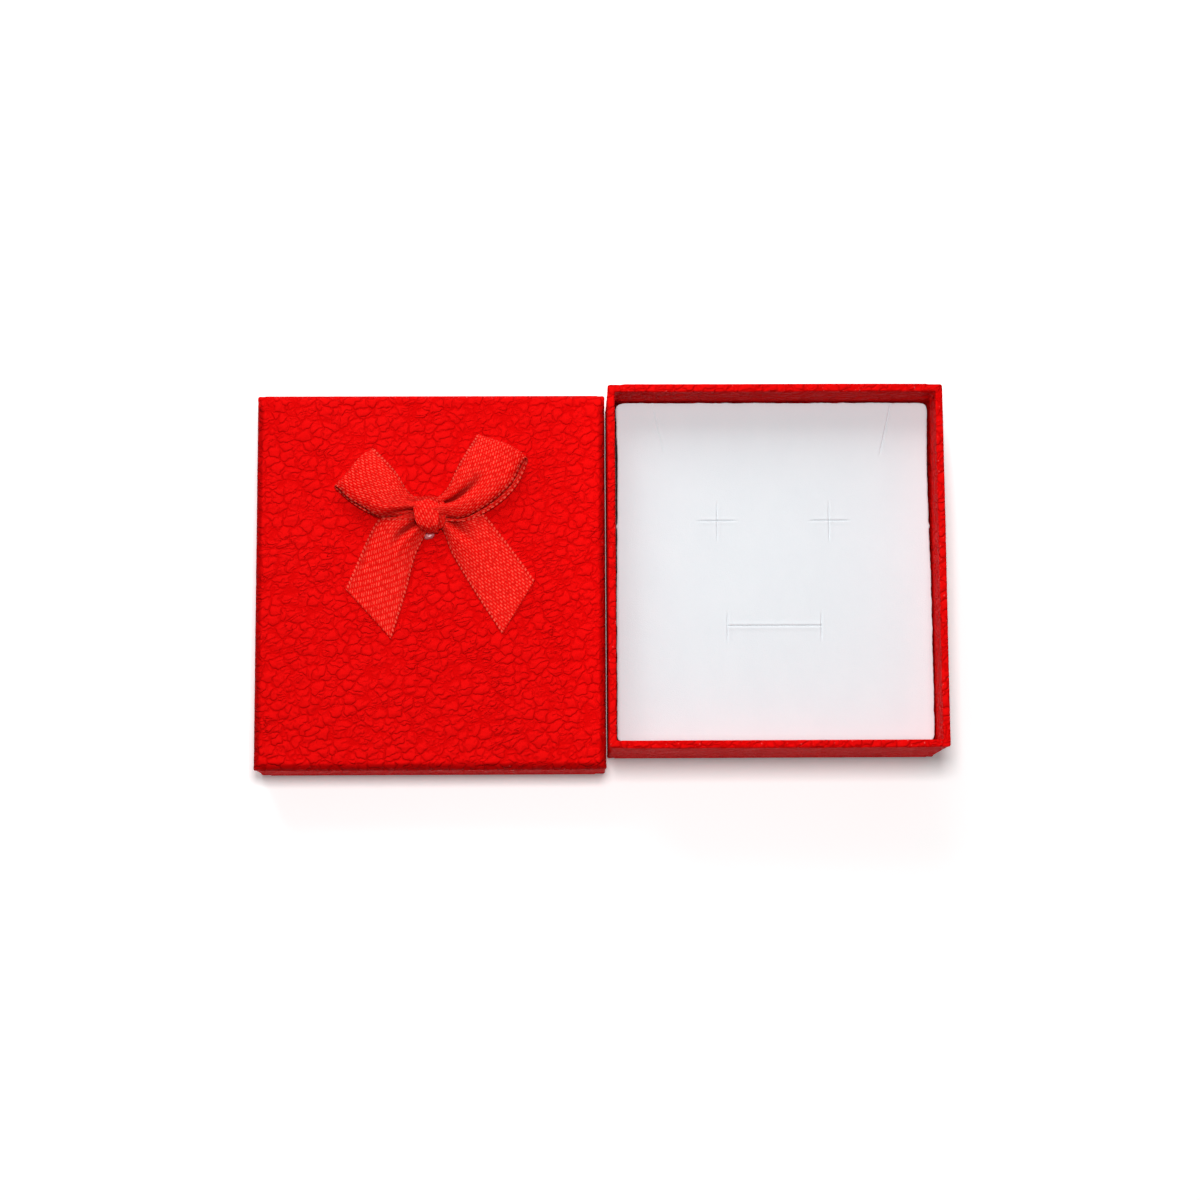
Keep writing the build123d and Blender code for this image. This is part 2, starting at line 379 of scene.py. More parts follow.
def leather_height(place):
    """Height of the grain, 0 in a crease and 1 on a pebble, at a place in millimetres."""
    drift = clouds(place, 0.24, 1.0, out=1) - 0.5
    ripple = clouds(place + 5.0, 0.85, 0.0, out=1) - 0.5
    bent = place + drift * 2.0 + ripple * 1.0
    leaning = turned(bent, GRAIN_LEAN) * (0.82, 1.12, 1.0)
    pebble = 1.0 - cell_middle(leaning, PEBBLES).ramp(0.05, 0.85)
    line = cell_edge(leaning, PEBBLES).ramp(0.0, 0.16)
    small_pebble = 1.0 - cell_middle(leaning + 31.0, SMALL_PEBBLES).ramp(0.05, 0.85)
    small_line = cell_edge(leaning + 31.0, SMALL_PEBBLES).ramp(0.0, 0.22)
    where_small = clouds(place + 77.0, 0.17, 1.0).ramp(0.52, 0.62)
    grain = pebble * 0.6 + line * 0.4
    small_grain = small_pebble * 0.6 + small_line * 0.4
    grain = grain * (1.0 - where_small * 0.8 * (1.0 - small_grain))
    along = turned(place, GRAIN_LEAN + 0.1) * (0.11, 0.55, 0.55)
    long_line = abs(clouds(along, 1.0, 2.0) - 0.5).ramp(0.0, 0.014)
    where_long = clouds(place + 13.0, 0.09, 1.0).ramp(0.52, 0.6)
    return grain * (1.0 - where_long * 0.7 * (1.0 - long_line))


# %% Press the grain into a mesh


def press_grain(piece, depth):
    """Sink the mesh along its normals by the grain, where its grain mark says."""
    tree = bpy.data.node_groups.new("press " + piece.name, "GeometryNodeTree")
    tree.interface.new_socket("Geometry", in_out="INPUT", socket_type="NodeSocketGeometry")
    tree.interface.new_socket("Geometry", in_out="OUTPUT", socket_type="NodeSocketGeometry")
    start = Wire(tree).node("NodeGroupInput")
    place = start.node("GeometryNodeInputPosition") * (1 / MM)
    mark = start.node("GeometryNodeInputNamedAttribute", {"data_type": "FLOAT"}, {"Name": "grain"})
    sink = (leather_height(place) - 1.0) * mark * (depth * MM)
    push = start.node("GeometryNodeInputNormal") * sink
    pressed = start.node("GeometryNodeSetPosition", {}, {"Geometry": start, "Offset": push})
    end = tree.nodes.new("NodeGroupOutput")
    tree.links.new(pressed.socket, end.inputs[0])
    modifier = piece.modifiers.new("press", "NODES")
    modifier.node_group = tree
    bpy.context.view_layer.update()
    shown = piece.evaluated_get(bpy.context.evaluated_depsgraph_get())
    piece.data = bpy.data.meshes.new_from_object(shown)
    piece.modifiers.clear()
    bpy.data.node_groups.remove(tree)


# %% Covering paper material


def make_covering_paper():
    """Embossed red paper: painted shade in the creases and on the folds, wear on the folds and rim, a
    dry low gloss.
    """
    material, place = start_material("embossed red paper")
    height = leather_height(place)
    fibres = clouds(place, 6.0, 3.0)
    patches = clouds(place, 0.07, 2.0)
    pebble = patches.mix((0.68, 0.0022, 0.0022, 1), (0.74, 0.0034, 0.0034, 1))
    # Painted shade: the creases get a darker red than the pebble tops.
    shaded_red = height.ramp(0.0, 0.35).mix((0.61, 0.0014, 0.0015, 1), pebble)
    mark = place.node("ShaderNodeAttribute", {"attribute_name": "wear"}, out=2)
    rubbed = clouds(place, 1.6, 4.0).ramp(0.66, 0.74) * mark
    fold_shade = place.node("ShaderNodeAttribute", {"attribute_name": "fold_shade"}, out=2)
    # Painted shade: the near and side folds get a much darker red.
    shaded_red = (fold_shade * 0.55).mix(shaded_red, (0.20, 0.0002, 0.0004, 1))
    colour = (rubbed * 0.35).mix(shaded_red, (0.86, 0.26, 0.24, 1))
    roughness = 0.62 - height * 0.08 + rubbed * 0.15
    relief = height + fibres * 0.05
    varying = {"Base Color": colour, "Roughness": roughness}
    constant = {"Specular IOR Level": 0.015, "Specular Tint": (1.0, 0.28, 0.22, 1)}
    end_material(place, relief, BUMP_DEPTH, varying, constant)
    return material


covering_paper = make_covering_paper()
print("material:", covering_paper.name)

# %% [markdown]
# ## Papered trays
#
# A set-up box is covered with one sheet: it crosses the closed panel, folds down the walls,
# rolls over the rim and ends inside. Two pieces of mesh give that shape: a grid for the
# panel, and rings that follow the profile of a wall. A ring is a rounded rectangle, and its
# corner radius shrinks to nothing where it meets the panel, so the corners close by
# themselves. A second, plainer skin inside gives the paper its thickness. Three marks go
# with the mesh: how deep the grain is pressed, where the dye has worn, and how much painted
# shade darkens each fold, with none on the far fold.

# %% A ring of points round the tray


def side_steps(half, step, corner_step, corner_zone):
    """Coordinates across a side, closer together near its two ends."""
    near = np.arange(0, corner_zone, corner_step)
    middle = half - corner_zone
    count = 2 * round(middle / step)
    inner = np.linspace(-middle, middle, count + 1)
    return np.concatenate([near - half, inner, (half - near)[::-1]])


def ring(half, inset, radius, steps, corner_count):
    """Rounded rectangle and its outward directions, anticlockwise from the front right."""
    quarter = np.linspace(0, np.pi / 2, corner_count + 1)
    straight = np.array(half[:2]) - inset - radius
    places = []
    outward = []
    for turn, (x_sign, y_sign) in enumerate(((1, -1), (1, 1), (-1, 1), (-1, -1))):
        angle = quarter + (turn - 1) * np.pi / 2
        direction = np.stack([np.cos(angle), np.sin(angle)], axis=1)
        places.append(straight * (x_sign, y_sign) + radius * direction)
        outward.append(direction)
        axis = 1 - turn % 2
        run = steps[axis][1:-1] / steps[axis][-1] * straight[axis]
        facing = np.zeros((len(run), 2))
        facing[:, 1 - axis] = (1, 1, -1, -1)[turn]
        side = facing * (straight[1 - axis] + radius)
        side[:, axis] = run * (1, -1, -1, 1)[turn]
        places.append(side)
        outward.append(facing)
    return np.concatenate(places), np.concatenate(outward)


# %% The profile of a wall
PAPER = 0.2       # mm
WALL = 1.7        # outside to inside, paper and board together
BOARD_BACK = 1.5  # outside to the board's inner face
CORNER = 0.9      # upright corner
INNER_CORNER = 0.35
ROLL = 0.4        # paper over the rim
WALL_STEP = 0.5
CORNER_STEP = 0.22  # the panel's finer grid near its edges
CORNER_ZONE = 2.2
CORNER_COUNT = 6    # steps round an upright corner
WORN = [0, 0.3, 1, 1, 0.5]           # ring by ring, from the panel over the fold
# Painted shade, ring by ring, from the panel over the fold.
FOLD_SHADE = [0.3, 0.9, 1, 1, 1, 0.5]


def arc(start, end, count):
    return np.linspace(np.radians(start), np.radians(end), count + 1)


def wall_profile(height, fold, turn_in):
    """Inset, height and corner radius of each ring, from the panel to the turned-in end."""
    rows = []
    for angle in arc(90, 0, 5)[1:]:
        inset = fold * (1 - np.cos(angle))
        rows.append((inset, fold * (1 - np.sin(angle)), CORNER * (1 - inset / fold)))
    rim_start = height - ROLL
    for level in np.linspace(fold, rim_start, round((rim_start - fold) / WALL_STEP) + 1)[1:]:
        rows.append((0.0, level, CORNER))
    for angle in arc(0, 90, 4)[1:]:
        inset = ROLL * (1 - np.cos(angle))
        rows.append((inset, rim_start + ROLL * np.sin(angle), CORNER - inset / 2))
    rows.append((WALL / 2, height, (CORNER + INNER_CORNER) / 2))
    for angle in arc(90, 0, 4):
        inset = WALL - ROLL * (1 - np.cos(angle))
        rows.append((inset, rim_start + ROLL * np.sin(angle), INNER_CORNER))
    end = height - turn_in
    for level in np.linspace(rim_start, end, round((rim_start - end) / WALL_STEP) + 1)[1:]:
        rows.append((WALL, level, INNER_CORNER))
    return rows


def hidden_profile(height, fold, turn_in):
    """Rings of the paper's glued face, back from the turned-in end to the panel."""
    top = height - PAPER
    rows = [
        (BOARD_BACK, height - turn_in, 0.1),
        (BOARD_BACK, top - 0.4, 0.1),
        (BOARD_BACK - 0.35, top, 0.2),
        (0.55, top, 0.5),
        (PAPER, top - 0.4, CORNER - PAPER),
        (PAPER, fold, CORNER - PAPER),
    ]
    for angle in arc(0, 90, 3)[1:]:
        reach = fold - PAPER
        inset = PAPER + reach * (1 - np.cos(angle))
        rows.append((inset, fold - reach * np.sin(angle), (CORNER - PAPER) * np.cos(angle)))
    return rows


# %% Cover a tray


def cover_tray(name, centre, half, fold, turn_in, top_level, panel_step, seam_lean):
    """The covering paper of one tray. top_level is the panel's level if it is on top."""
    height = 2 * half[2]
    flat = half[:2] - fold
    steps = [side_steps(length, panel_step, CORNER_STEP, CORNER_ZONE) for length in flat]
    outer = wall_profile(height, fold, turn_in)
    rows = outer + hidden_profile(height, fold, turn_in)
    grid_x, grid_y = np.meshgrid(steps[0], steps[1])
    panel = np.stack([grid_x, grid_y, 0 * grid_x], axis=-1).reshape(-1, 3)
    rings = []
    for inset, level, radius in [(fold, 0.0, 0.0)] + rows:
        place, outward = ring(half, inset, max(radius, 0.0), steps, CORNER_COUNT)
        shaped = handmade(place, outward, level, half, height, inset, seam_lean)
        rings.append(shaped)
    count = len(rings[0])
    rings = np.concatenate(rings)
    corner = np.minimum(half[0] - abs(rings[:, 0]), half[1] - abs(rings[:, 1]))
    points = np.concatenate([panel, rings])
    faces = grid_faces(len(steps[1]), len(steps[0]))
    strips = np.array(grid_faces(len(rows) + 1, count, closed=True)) + len(panel)
    faces += [face[::-1] for face in strips.tolist()]
    faces.append(list(range(len(points) - count, len(points)))[::-1])
    shown = np.repeat([1] * (len(outer) + 1) + [0] * (len(rows) - len(outer)), count)
    level = rings[:, 2]
    stretched = 0.25 + 0.45 * ramp(fold, 3 * fold, level) * ramp(height, height - 2, level)
    inner = np.minimum(half[0] - abs(panel[:, 0]), half[1] - abs(panel[:, 1])) - fold
    grain = np.concatenate([0.25 + 0.75 * ramp(0, 1.2, inner), shown * stretched])
    bend = np.repeat(WORN + [0] * (len(rows) + 1 - len(WORN)), count)
    rim = bump(level - height, 0.5) * (corner < WALL)
    wear = np.concatenate([np.zeros(len(panel)), np.maximum(bend * 0.5, rim) * shown])
    # Painted shade on the folds, fading to none on the far fold.
    pulled = np.repeat(FOLD_SHADE + [0] * (len(rows) + 1 - len(FOLD_SHADE)), count)
    pulled = pulled * (1 - ramp(half[1] - 2 * fold, half[1] - fold, rings[:, 1]))
    fold_shade = np.concatenate([np.zeros(len(panel)), pulled])
    if top_level is None:
        faces = [face[::-1] for face in faces]
    else:
        points[:, 2] = top_level - points[:, 2]
    points += (centre[0], centre[1], 0)
    marks = {"grain": grain, "wear": wear, "fold_shade": fold_shade}
    piece = make_piece(name, points, faces, marks, weld=True)
    press_grain(piece, PRESS_DEPTH)
    return piece


def handmade(place, outward, level, half, height, inset, seam_lean):
    """A ring with what hand folding leaves: wavy walls, lapped ends, ears at the corners."""
    x, y = place[:, 0], place[:, 1]
    wall = ramp(1.0, 4.0, level) * (inset < 0.7)
    wave = 0.015 + 0.015 * np.sin(x * 0.11 + level * 0.3 + 1.0) * np.cos(y * 0.09 + 2.0)
    from_corner = half[0] - abs(x)
    seam = 1.6 + seam_lean * level
    faces_y = abs(outward[:, 1]) > 0.9
    lap = -0.13 * ramp(seam - 0.1, seam + 0.1, from_corner) * faces_y * ramp(0.4, 1.6, level)
    diagonal = abs((half[0] - abs(x)) - (half[1] - abs(y)))
    near_corner = np.minimum(half[0] - abs(x), half[1] - abs(y)) < 3 * WALL
    ear = 0.14 * bump(diagonal, 0.5) * bump(level - height + 0.5, 1.2) * (inset < 0.7)
    ear += 0.26 * bump(diagonal, 0.6) * bump(level - 1.6, 0.9) * (inset < 0.7)
    moved = place - outward * (wall * wave + lap * (inset < 0.7) - ear)[:, None]
    on_rim = (inset > 0.3) & (inset < WALL)
    crease = 0.1 * bump(diagonal, 0.16) * near_corner * on_rim * bump(level - height, 0.4)
    return np.column_stack([moved, np.full(len(place), level) - crease])


lid_cover = cover_tray(
    "lid_cover", lid_centre, lid_half,
    fold=1.6, turn_in=10.0, top_level=lid_top, panel_step=0.42, seam_lean=0.05,
)
base_cover = cover_tray(
    "base_cover", base_centre, base_half,
    fold=1.35, turn_in=16.0, top_level=None, panel_step=0.8, seam_lean=0.07,
)
dress(lid_cover, covering_paper, "lid", "covering_paper", "lid_wrap")
dress(base_cover, covering_paper, "base", "covering_paper", "base_wrap")

# %% [markdown]
# Inside, the trays are bare greyboard: pressed waste paper, grey-brown, with dark and pale
# specks. Kraft tape holds the corners and shows only where the covering paper stops. The
# CAD shapes are right as they are, so these pieces stay and get a material.

# %% Greyboard and tape


def make_greyboard():
    """Pressed waste paper with fibres and specks."""
    material, place = start_material("greyboard")
    fibres = clouds(place * (0.4, 1.6, 1.0), 2.2, 4.0)
    specks = clouds(place, 2.6, 1.0).ramp(0.66, 0.72)
    pale = clouds(place + 9.0, 1.9, 1.0).ramp(0.68, 0.75)
    pulp = fibres.mix((0.27, 0.25, 0.22, 1), (0.38, 0.35, 0.31, 1))
    flecked = (specks * 0.7).mix(pulp, (0.10, 0.09, 0.08, 1))
    colour = (pale * 0.6).mix(flecked, (0.62, 0.60, 0.56, 1))
    varying = {"Base Color": colour, "Roughness": 0.82 + fibres * 0.12}
    end_material(place, fibres + specks * 0.3, 0.05, varying, {"Specular IOR Level": 0.2})
    return material


def make_paper_tape():
    """Brown kraft tape with a faint rib."""
    material, place = start_material("kraft tape")
    fibres = clouds(place * (0.5, 0.5, 2.5), 1.5, 4.0)
    rib = abs(place.part(2) % 0.6 - 0.3)
    colour = fibres.mix((0.33, 0.19, 0.09, 1), (0.47, 0.30, 0.16, 1))
    varying = {"Base Color": colour, "Roughness": 0.6 + fibres * 0.2}
    end_material(place, fibres + rib, 0.03, varying, {"Specular IOR Level": 0.3})
    return material


greyboard = make_greyboard()
paper_tape = make_paper_tape()
bare_pieces = {"board": greyboard, "stay": paper_tape}
for node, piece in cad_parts.items():
    for word, material in bare_pieces.items():
        if word in node:
            piece.data.materials.clear()
            piece.data.materials.append(material)
            print(node, "is", material.name)

# %% [markdown]
# ## Insert
#
# The insert is a block of foam with a flocked sheet on top, both cut by a knife. The cuts
# are almost closed: each one shows as a fine dark line between two raised lips. A cut needs
# points along it, so the grid gets extra lines beside every cut, and the whole grid leans
# near the two necklace cuts so that its lines follow them.

# %% Where the knife went
CROSS = (12.8, 11.6)       # mm from the insert's middle
CROSS_ARM = 3.9
RING_CUT = (10.7, -12.6)
RING_TICK = 2.9
CHAIN_CUT = (27.5, 11.4)   # at the far edge, and how far it reaches in
CHAIN_LEAN = 0.231         # sideways for each millimetre in
CUT_SPREAD = (0.0, 0.1, 0.22, 0.4, 0.7)
CUT_STRENGTH = 0.7
LONG_CUT_STRENGTH = 0.75
FAINT_CUT_STRENGTH = 0.35


def knife_cuts(half):
    """Start, end and strength of every cut."""
    cuts = []
    for side in (-1, 1):
        x, y = side * CROSS[0], CROSS[1]
        cuts.append(((x - CROSS_ARM, y), (x + CROSS_ARM, y), CUT_STRENGTH))
        cuts.append(((x, y - CROSS_ARM), (x, y + CROSS_ARM), CUT_STRENGTH))
        tick_x = side * RING_CUT[0]
        tick = (tick_x, RING_CUT[1] - RING_TICK), (tick_x, RING_CUT[1] + RING_TICK)
        cuts.append((*tick, CUT_STRENGTH))
        far = side * CHAIN_CUT[0]
        near = side * (CHAIN_CUT[0] - CHAIN_LEAN * CHAIN_CUT[1])
        strength = LONG_CUT_STRENGTH if side > 0 else FAINT_CUT_STRENGTH
        cuts.append(((far, half[1]), (near, half[1] - CHAIN_CUT[1]), strength))
    cuts.append(((-RING_CUT[0], RING_CUT[1]), (RING_CUT[0], RING_CUT[1]), LONG_CUT_STRENGTH))
    return cuts


def cut_relief(x, y, cuts):
    """Height change beside the cuts: a sharp groove between two lips."""
    relief = np.zeros_like(x)
    for start, end, strength in cuts:
        start, end = np.array(start), np.array(end)
        length = np.linalg.norm(end - start)
        along = ((x - start[0]) * (end - start)[0] + (y - start[1]) * (end - start)[1]) / length
        across = ((x - start[0]) * (end - start)[1] - (y - start[1]) * (end - start)[0]) / length
        within = ramp(-0.25, 0.25, along) * ramp(-0.25, 0.25, length - along)
        groove = -0.36 * bump(across, 0.13) + 0.12 * bump(abs(across) - 0.4, 0.2)
        relief += strength * within * groove
    return relief


# %% A cut slab


def cut_lines(half, step, cuts):
    """Grid coordinates in even steps, with extra ones beside each cut."""
    extra = [cut + side * away for cut in cuts for away in CUT_SPREAD for side in (-1, 1)]
    extra = np.unique(np.round(extra, 3))
    even = np.linspace(-half, half, round(2 * half / step) + 1)
    clear = [value for value in even if min(abs(extra - value)) > 0.25]
    edge = [-half + 0.2, -half + 0.45, half - 0.45, half - 0.2]
    return np.unique(np.concatenate([extra, clear, edge, [-half, half]]))


def cut_slab(name, centre, half, step, corner, soft_edge, side_rows, shape):
    """Rounded slab with the knife cuts in its top and its underside. shape moves points."""
    cuts = knife_cuts(half)
    x_cuts = [s * v for s in (-1, 1) for v in (CROSS[0], RING_CUT[0], CHAIN_CUT[0])]
    xs = cut_lines(half[0], step, x_cuts)
    ys = cut_lines(half[1], step, [CROSS[1], RING_CUT[1]])
    x, y = np.meshgrid(xs, ys)
    depth_in = half[1] - y
    window = ramp(10, 2, abs(abs(x) - CHAIN_CUT[0]))
    lean = CHAIN_LEAN * np.minimum(depth_in, CHAIN_CUT[1] + 1) * ramp(50, 13, depth_in)
    x = x - np.sign(x) * lean * window
    x, y = round_corners(x, y, half, corner)
    edge = np.minimum(half[0] - abs(x), half[1] - abs(y))
    soft = soft_edge * (1 - ramp(0, 0.8, edge))
    relief = cut_relief(x, y, cuts) * ramp(-0.1, 0.3, edge)
    top = np.stack([x, y, half[2] - soft + relief], axis=-1)
    under = np.stack([x, y, -half[2] + soft - relief], axis=-1)
    points, faces = shell(top, under, side_rows)
    return make_piece(name, shape(points, half) + centre, faces)


def round_corners(x, y, half, radius):
    """Draw a grid's square corners in to round ones."""
    across = np.clip(abs(x) - (half[0] - radius), 0, None) / radius
    along = np.clip(abs(y) - (half[1] - radius), 0, None) / radius
    reach = np.maximum(np.hypot(across, along), 1e-9)
    pull = np.where((across > 0) & (along > 0), np.maximum(across, along) / reach, 1.0)
    new_x = np.where(across > 0, half[0] - radius + radius * across * pull, abs(x))
    new_y = np.where(along > 0, half[1] - radius + radius * along * pull, abs(y))
    return np.sign(x) * new_x, np.sign(y) * new_y


# %% Shapes of the flocked sheet and the foam


def die_cut(points, half):
    """Wavy flocked face with a worn edge, two nibs where the sheet was torn off, a dimple."""
    x, y, z = points.T
    edge = np.minimum(half[0] - abs(x), half[1] - abs(y))
    at_edge = ramp(0.7, 0.0, edge)
    run = x + y
    slow = 0.05 * np.sin(run * 0.7 + 2.5 * np.sin(run * 0.23))
    ragged = slow + 0.04 * np.sin(run * 2.9 + 1.3 * np.sin(run))
    nib = 0.38 * bump(y - 10.4, 0.5) * (half[0] - abs(x) < 1.5) * ramp(1.0, 0.0, edge)
    upper = ramp(-half[2], half[2], z)
    wave = 0.05 * np.sin(x * 0.12 + 0.6) * np.sin(y * 0.1 + 1.1) * upper
    dimple = 0.12 * bump(np.hypot(x - 2.0, y - 13.9), 0.6) * upper
    swell = 0.12 * at_edge
    new_x = x + np.sign(x) * (ragged * at_edge + nib * 0.7 + swell)
    new_y = y + np.sign(y) * (ragged * at_edge + swell)
    return np.column_stack([new_x, new_y, z + wave - dimple])


def sliced_foam(points, half):
    """Foam sides pulled in a little between the faces, with the saw's slow waves."""
    x, y, z = points.T
    at_side = ramp(1.0, 0.0, np.minimum(half[0] - abs(x), half[1] - abs(y)))
    middle = 1 - (z / half[2]) ** 2
    pull = at_side * (0.25 * middle + 0.05 * np.sin(z * 2.4 + x * 0.2 + y * 0.15))
    return np.column_stack([x - np.sign(x) * pull, y - np.sign(y) * pull, z])


flock_sheet = cut_slab(
    "flocked_sheet", velvet_centre, velvet_half,
    step=0.8, corner=1.5, soft_edge=0.22, side_rows=2, shape=die_cut,
)
foam_block = cut_slab(
    "foam_block", foam_centre, foam_half,
    step=1.3, corner=1.5, soft_edge=0.12, side_rows=16, shape=sliced_foam,
)

# %% [markdown]
# Flock is a felt of upright nylon hairs: dull, slightly blue-white, brighter at grazing
# angles, which is what the sheen socket is for. The foam is white polyethylene: open pores
# a third of a millimetre wide show on its sawn sides.

# %% Flock and foam


def make_flock():
    """White flocked face with a fine pile."""
    material, place = start_material("white flock")
    pile = clouds(place, 4.5, 3.0)
    laid = clouds(place * (1.0, 0.6, 1.0), 0.16, 3.0)
    tone = laid.mix((0.68, 0.712, 0.742, 1), (0.72, 0.747, 0.772, 1))
    colour = (pile.ramp(0.62, 0.8) * 0.4).mix(tone, (0.62, 0.64, 0.67, 1))
    constant = {"Specular IOR Level": 0.1, "Sheen Weight": 0.25, "Sheen Roughness": 0.5}
    varying = {"Base Color": colour, "Roughness": 0.9 + pile * 0.1}
    end_material(place, pile + laid * 0.6, 0.05, varying, constant)
    return material


def make_foam():
    """White foam with open pores, painted shade in their pits."""
    material, place = start_material("white foam")
    pores = cell_edge(place, 2.2).ramp(0.02, 0.3)
    saw = clouds(place * (0.1, 0.1, 2.0), 1.0, 2.0)
    # Painted shade: the pits of the pores get a darker grey.
    colour = pores.mix((0.86, 0.87, 0.87, 1), (0.66, 0.68, 0.69, 1))
    varying = {"Base Color": colour, "Roughness": 0.7 + pores * 0.2}
    relief = saw * 0.6 - pores * 0.7
    end_material(place, relief, 0.16, varying, {"Specular IOR Level": 0.3})
    return material


dress(flock_sheet, make_flock(), "insert", "flock", "insert_velvet")
dress(foam_block, make_foam(), "insert", "foam", "insert_foam")

# %% [markdown]
# ## Satin bow
#
# The bow is half-inch satin ribbon: two loops, two tails and a turn pulled tight round the
# middle. Each run of ribbon is a strip between two edge curves, each drawn through a few
# points. A loop goes out, turns over at its far fold and comes back under itself. Where the
# knot squeezes the ribbon it pleats. Every point keeps its place on the flat ribbon, along
# and across, so the weave follows the ribbon through each fold.

# %% Curves and strips
RIBBON = 12.7            # mm, half an inch
RIBBON_THICKNESS = 0.26
ACROSS = 37              # points across the ribbon
HOLLOW_REACH = 8         # grid points
HOLLOW_DEPTH = 0.45      # mm below the ribbon around it
bow_origin = np.array([knot_centre[0], knot_centre[1], lid_top])


def curve_through(points, shares):
    """Smooth curve through a few points, at shares of its length from 0 to 1."""
    points = np.array(points, float)
    reach = np.append(0, np.cumsum(np.linalg.norm(np.diff(points, axis=0), axis=1)))
    slope = np.gradient(points, reach, axis=0)
    want = np.asarray(shares) * reach[-1]
    left = np.clip(np.searchsorted(reach, want) - 1, 0, len(points) - 2)
    width = (reach[left + 1] - reach[left])[:, None]
    t = (want - reach[left])[:, None] / width
    return (
        (2 * t**3 - 3 * t**2 + 1) * points[left]
        + (t**3 - 2 * t**2 + t) * width * slope[left]
        + (3 * t**2 - 2 * t**3) * points[left + 1]
        + (t**3 - t**2) * width * slope[left + 1]
    )


def across_shares():
    return np.linspace(0, 1, ACROSS)


def smoothed(grid, reach):
    """Average of a grid over a square that reaches this many points each way."""
    kernel = np.ones(2 * reach + 1) / (2 * reach + 1)
    for axis in (0, 1):
        border = [(reach, reach) if side == axis else (0, 0) for side in (0, 1)]
        padded = np.pad(grid, border, "edge")
        grid = np.apply_along_axis(np.convolve, axis, padded, kernel, "valid")
    return grid


def hollow_shade(middle):
    """0 on open ribbon, up to 1 in a pleat and round the knot, where little light reaches; the satin
    paints shade there.
    """
    height = middle[:, :, 2]
    hollow = np.clip((smoothed(height, HOLLOW_REACH) - height) / HOLLOW_DEPTH, 0, 1)
    from_knot = np.hypot(middle[:, :, 0], middle[:, :, 1])
    return np.maximum(hollow, 0.55 * ramp(5.2, 3.2, from_knot) * (height < 3.2))


def ribbon_piece(name, middle):
    """Ribbon of even thickness; its mark is along, across and how hollow it is."""
    along_way = np.gradient(middle, axis=0)
    across_way = np.gradient(middle, axis=1)
    normal = np.cross(across_way, along_way)
    normal /= np.linalg.norm(normal, axis=2, keepdims=True) + 1e-9
    lift = normal * RIBBON_THICKNESS / 2
    steps = np.linalg.norm(np.diff(middle[:, ACROSS // 2], axis=0), axis=1)
    along = np.append(0, np.cumsum(steps))
    across = (across_shares() - 0.5) * RIBBON
    flat = np.stack(np.meshgrid(across, along)[::-1] + [hollow_shade(middle)], axis=-1)
    points, faces = shell(middle + lift, middle - lift)
    marks = {"ribbon": np.concatenate([flat.reshape(-1, 3)] * 2)}
    piece = make_piece(name, points + bow_origin, faces, marks)
    print(f"{name}: {along[-1]:.1f} mm of ribbon")
    return piece, along[-1]


def between_edges(first_edge, second_edge, out):
    """Rows of points from one edge curve to the other, one row for each share out."""
    share = across_shares()[None, :, None]
    first = curve_through(first_edge, out)[:, None] * (1 - share)
    return first + curve_through(second_edge, out)[:, None] * share


# %% Loops


def loop_strip(front_inner, front_outer, back_inner, back_outer, heading, surface, fold_wave):
    """Out along the front edges, round the fold and back along the hind edges."""
    out = np.linspace(0, 1, 64)
    front = between_edges(front_inner, front_outer, out)
    back = between_edges(back_inner, back_outer, out[::-2])
    v = across_shares()[None, :]
    front_z = surface(out[:, None], v)
    back_z = 1.45 + 0.25 * (1 - out[::-2, None]) + 0 * v
    turn = np.linspace(90, -90, 15)[1:-1]
    bulge = (front_z[-1] - back_z[0]) / 2
    middle_z = (front_z[-1] + back_z[0]) / 2
    cosine = np.cos(np.radians(turn))[:, None]
    sine = np.sin(np.radians(turn))[:, None]
    blend = (1 + sine[:, :, None]) / 2
    fold = front[-1] * blend + back[0] * (1 - blend)
    fold = fold + cosine[:, :, None] * bulge[None, :, None] * np.array(heading)
    fold_z = middle_z + sine * bulge
    plan = np.concatenate([front, fold, back])
    z = np.concatenate([front_z, fold_z, back_z])
    ripple = fold_wave(v) * bump(np.linspace(0, 1, len(plan))[:, None] - 0.62, 0.16)
    plan = plan + ripple[:, :, None] * np.array(heading)
    return np.concatenate([plan, z[:, :, None]], axis=2)


def left_surface(out, v):
    """Height of the left loop's face: a dome, with a pleat along its lower third."""
    rise = 2.3 + 1.5 * ramp(0, 0.55, out)
    dome = 0.9 * (1 - (2 * v - 0.9) ** 2)
    pleat_at = 0.60 + 0.26 * ramp(0, 0.6, out)
    fade = ramp(0.72, 0.3, out)
    pleat = 1.2 * ramp(-0.01, 0.10, v - pleat_at) * fade
    lip = 0.25 * bump(v - pleat_at + 0.06, 0.06) * fade
    lower = 0.45 * ramp(pleat_at, 1.0, v) * fade
    gather = 0.26 * np.sin(v * 15 + 0.5) * ramp(0.45, 0.0, out)
    droop = 0.35 * ramp(0.85, 1, v) + 0.5 * ramp(0.78, 1, out)
    return rise + dome - pleat + lip + lower + gather - droop


def right_surface(out, v):
    """Height of the right loop's face: a deep valley by the knot and a full lower edge."""
    rise = 2.2 + 1.5 * ramp(0, 0.5, out)
    dome = 0.85 * (1 - (2 * v - 1.05) ** 2)
    valley_at = 0.30 + 0.16 * ramp(0, 0.6, out)
    crease = 1.9 * bump(v - valley_at, 0.06 + 0.17 * out) * ramp(0.9, 0.1, out)
    swell = 0.7 * bump(v - valley_at - 0.26, 0.2) * ramp(0.8, 0.1, out)
    gather = 0.16 * np.sin(v * 18) * ramp(0.3, 0.0, out)
    droop = 0.4 * ramp(0.85, 1, v) + 0.6 * ramp(0.75, 1, out)
    return rise + dome - crease + swell + gather - droop


